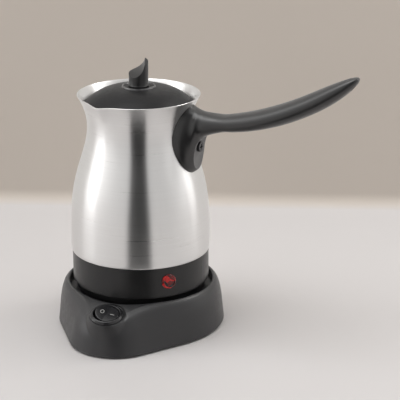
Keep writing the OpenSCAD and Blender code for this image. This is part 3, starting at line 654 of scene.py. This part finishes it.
def lip_push(place):
    """Move a point of the flare outwards where the pouring lip is pressed into it."""
    z, r = place.z, place.xy.length
    if z <= lip_z or r < 25:
        return place
    t = min(1.0, (z - lip_z) / (rim_z - lip_z))
    off = place.xy.angle_signed(Vector((cos(spout_dir), sin(spout_dir))))
    spread = acos(r / (r + 0.02 + lip_reach * t ** 1.1))
    soft = sqrt(off * off + (0.05 * t) ** 2)
    if soft >= spread:
        return place
    grown = r / cos(spread - soft)
    dip = lip_dip * t * (1 - soft / spread) ** 2
    return Vector((place.x * grown / r, place.y * grown / r, z - dip))

outer = [(pot_r(z), z) for z in [steel_z + 0.4, 58, 60, 62, 64] + [66 + 2.2 * k for k in range(38)]]
outer += [(pot_r(z), z) for z in [150.5 + 0.93 * k for k in range(23)]]
inner = [(pot_r(z) - steel_t, z) for z in [170.9 - 1.3 * k for k in range(16)]]
inner += [(pot_r(z) - steel_t, z) for z in [148 - 3.6 * k for k in range(24)]]
profile = [(0, 57.3), (20, 57.3), (46.6, 57.3), (47, 56.9), (47, 53.2), (47.2, 53), (47.6, 53),
           (47.8, 53.2), (47.8, 56.3), (49.4, 56.5), (49.8, 56.6)] + outer
profile += [(43.82, 171.1), (43.72, 171.24), (43.55, 171.3), (43.35, 171.28), (43.2, 171.15)]
profile += inner + [(49.3, 62), (48.9, 60.2), (47.9, 58.9), (46.4, 58.2), (44.5, 58.1),
                    (20, 58.1), (0, 58.1)]
vessel = turned(profile, 216)
for v in vessel.verts:
    v.co = lip_push(v.co)

steel, tree, shader = new_material("brushed_steel")
where = put(tree, "TexCoord").outputs["Object"]
brushing = noise(tree, stretched(tree, where, (22, 22, 4200)), 1.0, 4)
streaks = noise(tree, stretched(tree, where, (14, 14, 1100)), 1.0, 3)
both = maths(tree, "ADD", brushing, streaks)
bump = put(tree, "Bump", {"Distance": 0.0000007, "Height": brushing})
round_axis = put(tree, "Tangent", direction_type="RADIAL", axis="Z")
fill(tree, shader, {
    "Base Color": mix(tree, ramp(tree, both, 0.6, 1.4), (0.765, 0.76, 0.755, 1),
                      (0.8, 0.8, 0.795, 1)),
    "Roughness": ramp(tree, both, 0.6, 1.4, 0.27, 0.31), "Normal": bump.outputs["Normal"],
    "Tangent": round_axis.outputs["Tangent"], "Metallic": 1.0, "Anisotropic": 0.9,
    "Anisotropic Rotation": 0.25})
finish_piece("steel_vessel", vessel, "pot", steel, ("pot_shell",), crease=40,
             at=pot_frame)

# ---------------------------------------------------------------- heating skirt and pilot light
# A black moulded skirt covers the element under the pot. A red lens shows that the element is on:
# a thick clear-red button with moulded facets on its inside and a small unlit lamp behind it.
band_plastic = moulded("skirt_plastic", (0.006, 0.006, 0.0065), (0.01, 0.01, 0.0105), 0.28, 0.36,
                       grain=0.0005, relief=0.00002)
dress(band_plastic, "pot_band", "pot_cover")
seal_rubber = moulded("seal_rubber", (0.02, 0.02, 0.02), (0.03, 0.03, 0.03), 0.7, 0.85)
dress(seal_rubber, "band_seal")

pilot_dir = radians(-39.4)
pilot_frame = (pot_frame @ Matrix.Rotation(pilot_dir, 4, "Z")
               @ Matrix.Translation((0, 0, 46.2)) @ Matrix.Rotation(pi / 2, 4, "Y"))
lens = turned([(4.1, 45.6), (6.3, 45.6), (6.3, 47.42), (5.3, 47.45), (5.3, 50.15), (5.2, 50.45),
               (4.95, 50.75), (4.6, 50.95), (4.2, 51.0), (3.9, 50.85), (3.75, 50.6),
               (2.8, 50.72), (1.6, 50.84), (0, 50.9)], 64)
facets = bmesh.new()
ring = bmesh.ops.create_circle(facets, segments=16, radius=4.1,
                               matrix=Matrix.Translation((0, 0, 45.6)))["verts"]
for k, (radius, low, high) in enumerate(((4.1, 47.6, 47.6), (3.4, 48.1, 49.1),
                                         (2.2, 49.3, 48.2), (1.1, 48.3, 49.2))):
    turns = [pi * (i + 0.5 * k) / 8 for i in range(16)]
    ring = raise_ring(facets, ring, [(radius * cos(a), radius * sin(a), low if i % 2 else high)
                                     for i, a in enumerate(turns)])
bmesh.ops.contextual_create(facets, geom=ring)
bmesh.ops.triangulate(facets, faces=facets.faces)
lens_red, tree, shader = new_material("lens_red")
# Painted light: dark and bright red cells stand in for the light and shade of the facets inside the
# lens, and the lens turns pinkish towards its edges as a painted highlight.
cells = put(tree, "TexVoronoi", {"Vector": put(tree, "TexCoord").outputs["Object"],
                                 "Scale": 330}).outputs["Color"]
facet_shade_mask = ramp(tree, put(tree, "SeparateXYZ", {"Vector": cells}).outputs["X"], 0.25, 0.7)
painted_edge_highlight = ramp(tree, put(tree, "LayerWeight", {"Blend": 0.5}).outputs["Facing"], 0.4, 0.85, 0.0, 0.7)
painted_facet_shade = mix(tree, facet_shade_mask, (0.012, 0.0, 0.001, 1), (0.62, 0.012, 0.012, 1))
fill(tree, shader, {"Base Color": mix(tree, painted_edge_highlight, painted_facet_shade, (0.75, 0.16, 0.17, 1)),
                    "Roughness": 0.05, "IOR": 1.49, "Transmission Weight": 0.2})
finish_piece("pilot_lens_button", lens, "pot", lens_red, ("pilot_lens",),
             at=pilot_frame)

def clouded(name, scale, first, second, fixed):
    """A clear or glossy material with soft clouds of two colours."""
    material, tree, shader = new_material(name)
    flow = noise(tree, put(tree, "TexCoord").outputs["Object"], scale)
    fill(tree, shader, {"Base Color": mix(tree, flow, first, second), **fixed})
    return material

facet_red = clouded("facet_red", 300, (0.3, 0.004, 0.006, 1), (0.9, 0.12, 0.07, 1),
                    {"Roughness": 0.18})
finish_piece("pilot_lens_facets", facets, "pot", facet_red, crease=5,
             at=pilot_frame)
neon = clouded("lamp_glass", 500, (0.9, 0.55, 0.35, 1), (0.95, 0.7, 0.5, 1),
               {"Roughness": 0.08, "Transmission Weight": 0.6})
dress(neon, "neon_lamp")

# ---------------------------------------------------------------- heating parts
# Under the pot's floor: an aluminium heat spreader, a tubular element with steel sheath, a
# cut-out in a bakelite case and a thermal fuse in a spring clip, joined by silicone leads.
spreader = metal("cast_aluminium", (0.72, 0.73, 0.74), (0.55, 0.56, 0.57), 0.35, 0.55, cloud=0.006)
dress(spreader, "heater_plate")
sheath = metal("element_sheath", (0.33, 0.31, 0.29), (0.2, 0.18, 0.17), 0.4, 0.6, cloud=0.005)
dress(sheath, "heating_element")
bakelite = moulded("cutout_bakelite", (0.02, 0.018, 0.017), (0.035, 0.03, 0.028), 0.3, 0.45)
dress(bakelite, "thermostat")
ceramic = moulded("fuse_ceramic", (0.68, 0.66, 0.6), (0.6, 0.58, 0.52), 0.3, 0.5)
dress(ceramic, "thermal_fuse")
lead_white = moulded("silicone_insulation", (0.6, 0.59, 0.54), (0.68, 0.67, 0.62), 0.5, 0.65)
dress(lead_white, "pot_leads")

# ---------------------------------------------------------------- handle
# One phenolic moulding in satin black: a pad that hugs the pot, a slim waist and an arm that
# sweeps up to a rounded tip with a hanging hole. One screw in a recess holds it to its bracket.
handle_reach, arm_x, pad_w, hang_x = 163.6, 55.0, 17.6, 158.3
arm_l = handle_reach - arm_x

def arm_z(x):
    """Height of the arm's middle line, a shallow upward curve."""
    u = x - arm_x
    return 156.2 + 0.06 * u + 0.0031 * u * u

def arm_slope(x):
    """Angle of the arm's middle line to the level."""
    return atan(0.06 + 0.0062 * (x - arm_x))

def power(value, exponent):
    """A power that keeps the sign of its value."""
    return (1 if value >= 0 else -1) * abs(value) ** exponent

def arm_row(x, count):
    """A section of the arm, square to its middle line."""
    u = 1 - (handle_reach - x) / (0.2726 * arm_l)
    tip = 1 if u <= 0 else sqrt(max(0, 1 - u ** 2.2))
    swell = sin(pi * min(1, max(0, (x - arm_x - 0.1197 * arm_l) / (0.8471 * arm_l))))
    half_high = (5.9 + 1.1 * swell) * tip
    half_wide = (9.4 + 2 * swell) * tip ** 0.8
    s = arm_slope(x)
    row = []
    for c, q in circle(count):
        v = half_high * power(c, 0.9)
        row.append(Vector((x - v * sin(s), half_wide * power(q, 0.86), arm_z(x) + v * cos(s))))
    return row

# Sections of the root from the pad to the waist: reach beyond the neck and depth below the rim
# at the section's bottom and then at its top, its two widths as shares of the pad's, how far it
# stands off the pot's wall, how closely it follows that wall, and how much it narrows upwards.
roots = ((7.5, 52, 4.7, 3.8, 1, 1, 0.06, 1, 1),
         (10.1, 49.6, 7.1, 5.2, 0.92, 0.95, 3.2, 0.75, 1),
         (10.9, 44.2, 9.4, 6.3, 0.7, 0.85, 6, 0.35, 1),
         (11.5, 37.2, 11.9, 7.2, 0.56, 0.74, 6, 0.1, 0.3),
         (12.7, 30.2, 14.5, 7.7, 0.53, 0.64, 6, 0, 0.3),
         (16.1, 24.6, 18.4, 7.9, 0.55, 0.59, 6, 0, 0.3))

def root_row(root, count, shrink=1.0):
    """A section of the root; shrink draws it in towards its middle."""
    low_x, low_z, high_x, high_z, low_w, high_w, stand, follow, narrow = root
    row = []
    for c, q in circle(count):
        h = (1 + c * shrink) / 2
        z = rim_z - low_z + (low_z - high_z) * h
        y = (pad_w * (low_w + (high_w - low_w) * h) * power(q, 0.85) * shrink
             * (1 - 0.2 * h * narrow))
        straight = neck_r + low_x + (high_x - low_x) * h
        hug = sqrt(max(0, pot_r(z) ** 2 - y * y)) + stand
        row.append(Vector((follow * hug + (1 - follow) * straight, y, z)))
    return row

sides = 80
stations = [root_row(root, sides) for root in roots]
stations += [arm_row(arm_x + f * arm_l, sides) for f in
             (0.101, 0.166, 0.239, 0.313, 0.387, 0.46, 0.534, 0.608, 0.682, 0.746, 0.801,
              0.847, 0.889, 0.921, 0.948, 0.971, 0.987, 0.9963)]
columns = [smooth_path([s[i] for s in stations], 4) for i in range(sides)]
rows = [root_row(roots[0], sides, k) for k in (0.15, 0.35, 0.55, 0.75, 0.9)]
rows += [[c[j] for c in columns] for j in range(len(columns[0]))]
handle = capped(rows)
# Cut out of it: a way for the screw, a shallow dish round the screw's head and the hanging hole.
way_start, way_end, screw_z = 46.75, 76, 138
screw_way = rod(3.9, way_end - way_start, 48,
                Matrix.Translation(((way_start + way_end) / 2, 0, screw_z))
                @ Matrix.Rotation(pi / 2, 4, "Y"))
dish_r, dish_deep = 11.0, 2.4
recess_frame = (Matrix.Translation((pot_r(screw_z) + 8.05, 0, 134))
                @ Matrix.Rotation(radians(96.8), 4, "Y"))
dish = [(r, dish_deep * (1 - sqrt(1 - (r / dish_r) ** 2)))
        for r in (0.4, 2, 3.5, 5, 6.5, 8, 9, 9.8, 10.4, 10.8, 10.97)]
recess = capped([[recess_frame @ Vector((1.15 * r * c, r * s, h)) for c, s in circle(64)]
                 for r, h in dish + [(11.05, 2.6), (11.6, 14)]])
for f in recess.faces:
    f.material_index = 1  # the dish is grey
hole_frame = (Matrix.Translation((hang_x, 0, arm_z(hang_x)))
              @ Matrix.Rotation(-arm_slope(hang_x), 4, "Y"))
hole = capped([[hole_frame @ Vector((r * c, r * s, z)) for c, s in circle(48)]
               for r, z in ((6, -8), (2.6, -3.1), (2.2, -2.4), (2.2, 2.4), (2.6, 3.1), (6, 8))])
handle = carved(handle, screw_way, recess, hole)
handle_plastic = moulded("handle_phenolic", (0.004, 0.004, 0.0045), (0.008, 0.008, 0.0085),
                         0.3, 0.38, grain=0.0009, relief=0.000012, shine=0.85)
handle_arm = finish_piece("handle_arm", handle, "pot", handle_plastic,
                          ("handle",), at=pot_frame)
recess_grey = moulded("recess_grey", (0.13, 0.13, 0.132), (0.18, 0.18, 0.183), 0.5, 0.65,
                      grain=0.0007, relief=0.00003)
handle_arm.data.materials.append(recess_grey)
black_oxide = metal("black_oxide_steel", (0.12, 0.12, 0.125), (0.06, 0.06, 0.065), 0.3, 0.5)
dress(black_oxide, "handle_screw")

# ---------------------------------------------------------------- lid and knob
# A moulded black lid drops into the flare: a shallow dome with a raised ring, a skirt inside the
# neck, and a round knob whose slanted top is scooped out for a finger, held by one screw.
lid_r, lid_z, dome_h = 39.1, 164.0, 12.1

def dome(r):
    """Height of the lid's top at a radius."""
    return lid_z + 0.6 + dome_h * (1 - (r / lid_r) ** 3.2)

disc = dome(0) - 0.2
profile = [(0, disc), (6, disc), (10.5, disc), (10.8, disc + 0.05), (10.98, disc + 0.25),
           (11.1, disc + 0.6), (11.2, disc + 0.76), (11.4, disc + 0.82), (11.6, disc + 0.78),
           (11.74, disc + 0.62), (11.85, disc + 0.25), (12.05, dome(12.05))]
profile += [(12.1 + 27 * (k / 36), dome(12.1 + 27 * (k / 36))) for k in range(1, 36)]
profile += [(38.9, dome(38.9)), (39.08, 164.4), (39.05, 163.9), (38.8, 163.6), (38.5, 163.5),
            (36.6, 163.5), (36.4, 163.2), (36.3, 157.8), (36.0, 157.5), (35.2, 157.5),
            (34.9, 157.8), (34.9, 163.6)]
profile += [(34 * (1 - k / 12), dome(34 * (1 - k / 12)) - 2) for k in range(13)]
lid = turned(profile, 192)
for f in lid.faces:
    spot = f.calc_center_median()
    if 10.85 < spot.xy.length < 12 and spot.z > disc:
        f.material_index = 1  # the ring is polished
lid_plastic = moulded("lid_plastic", (0.008, 0.008, 0.0085), (0.013, 0.013, 0.014), 0.36, 0.46,
                      grain=0.0006, relief=0.00002, shine=0.2)
lid_disc = finish_piece("lid_disc", lid, "lid", lid_plastic, ("lid_dome",))
# The raised ring is glossier than the lid, and painted a lighter grey than the lid as a painted
# highlight.
ring_gloss_and_highlight = moulded("ring_gloss_painted_highlight", (0.05, 0.05, 0.052), (0.08, 0.08, 0.083), 0.12, 0.2,
                   grain=0.0006, relief=0.00001, shine=1.0)
lid_disc.data.materials.append(ring_gloss_and_highlight)

# The scoop is a big round cutter laid at a tilt; the sliver it leaves at one side is the tip.
knob_r, knob_top, tilt, knob_turn = 6.95, 194.3, radians(17.2), radians(21)
foot = dome(0) - 0.15
knob = turned([(0, foot), (7.1, foot), (7.25, foot + 0.1), (7.3, foot + 0.3),
               (7.3, foot + 0.95), (7.22, foot + 1.15), (7.05, foot + 1.28),
               (knob_r, foot + 1.5), (knob_r, foot + 6), (knob_r, knob_top + 6),
               (0, knob_top + 6)], 64)
scoop = rod(9.6, 60, 96, Matrix.Translation((-5.0, 0, knob_top + 1.5))
            @ Matrix.Rotation(tilt - pi / 2, 4, "X"))
above = bmesh.new()
bmesh.ops.create_cube(above, size=30, matrix=Matrix.Translation((0, 0, knob_top))
                      @ Matrix.Rotation(tilt, 4, "X") @ Matrix.Translation((0, 0, 15)))
knob = carved(knob, scoop, above)
bmesh.ops.remove_doubles(knob, verts=knob.verts, dist=0.02)
rims = [e for e in knob.edges if len(e.link_faces) == 2 and e.calc_face_angle(0) > radians(32)
        and min(v.co.z for v in e.verts) > foot + 3]
bmesh.ops.bevel(knob, geom=rims, offset=0.22, segments=3, profile=0.5, affect="EDGES",
                clamp_overlap=True, material=-1)
knob_plastic = moulded("knob_plastic", (0.008, 0.008, 0.0085), (0.014, 0.014, 0.0145), 0.28, 0.4,
                       grain=0.0006, relief=0.00001)
finish_piece("lid_knob", knob, "lid", knob_plastic, ("knob",), crease=40,
             at=Matrix.Rotation(knob_turn, 4, "Z"))
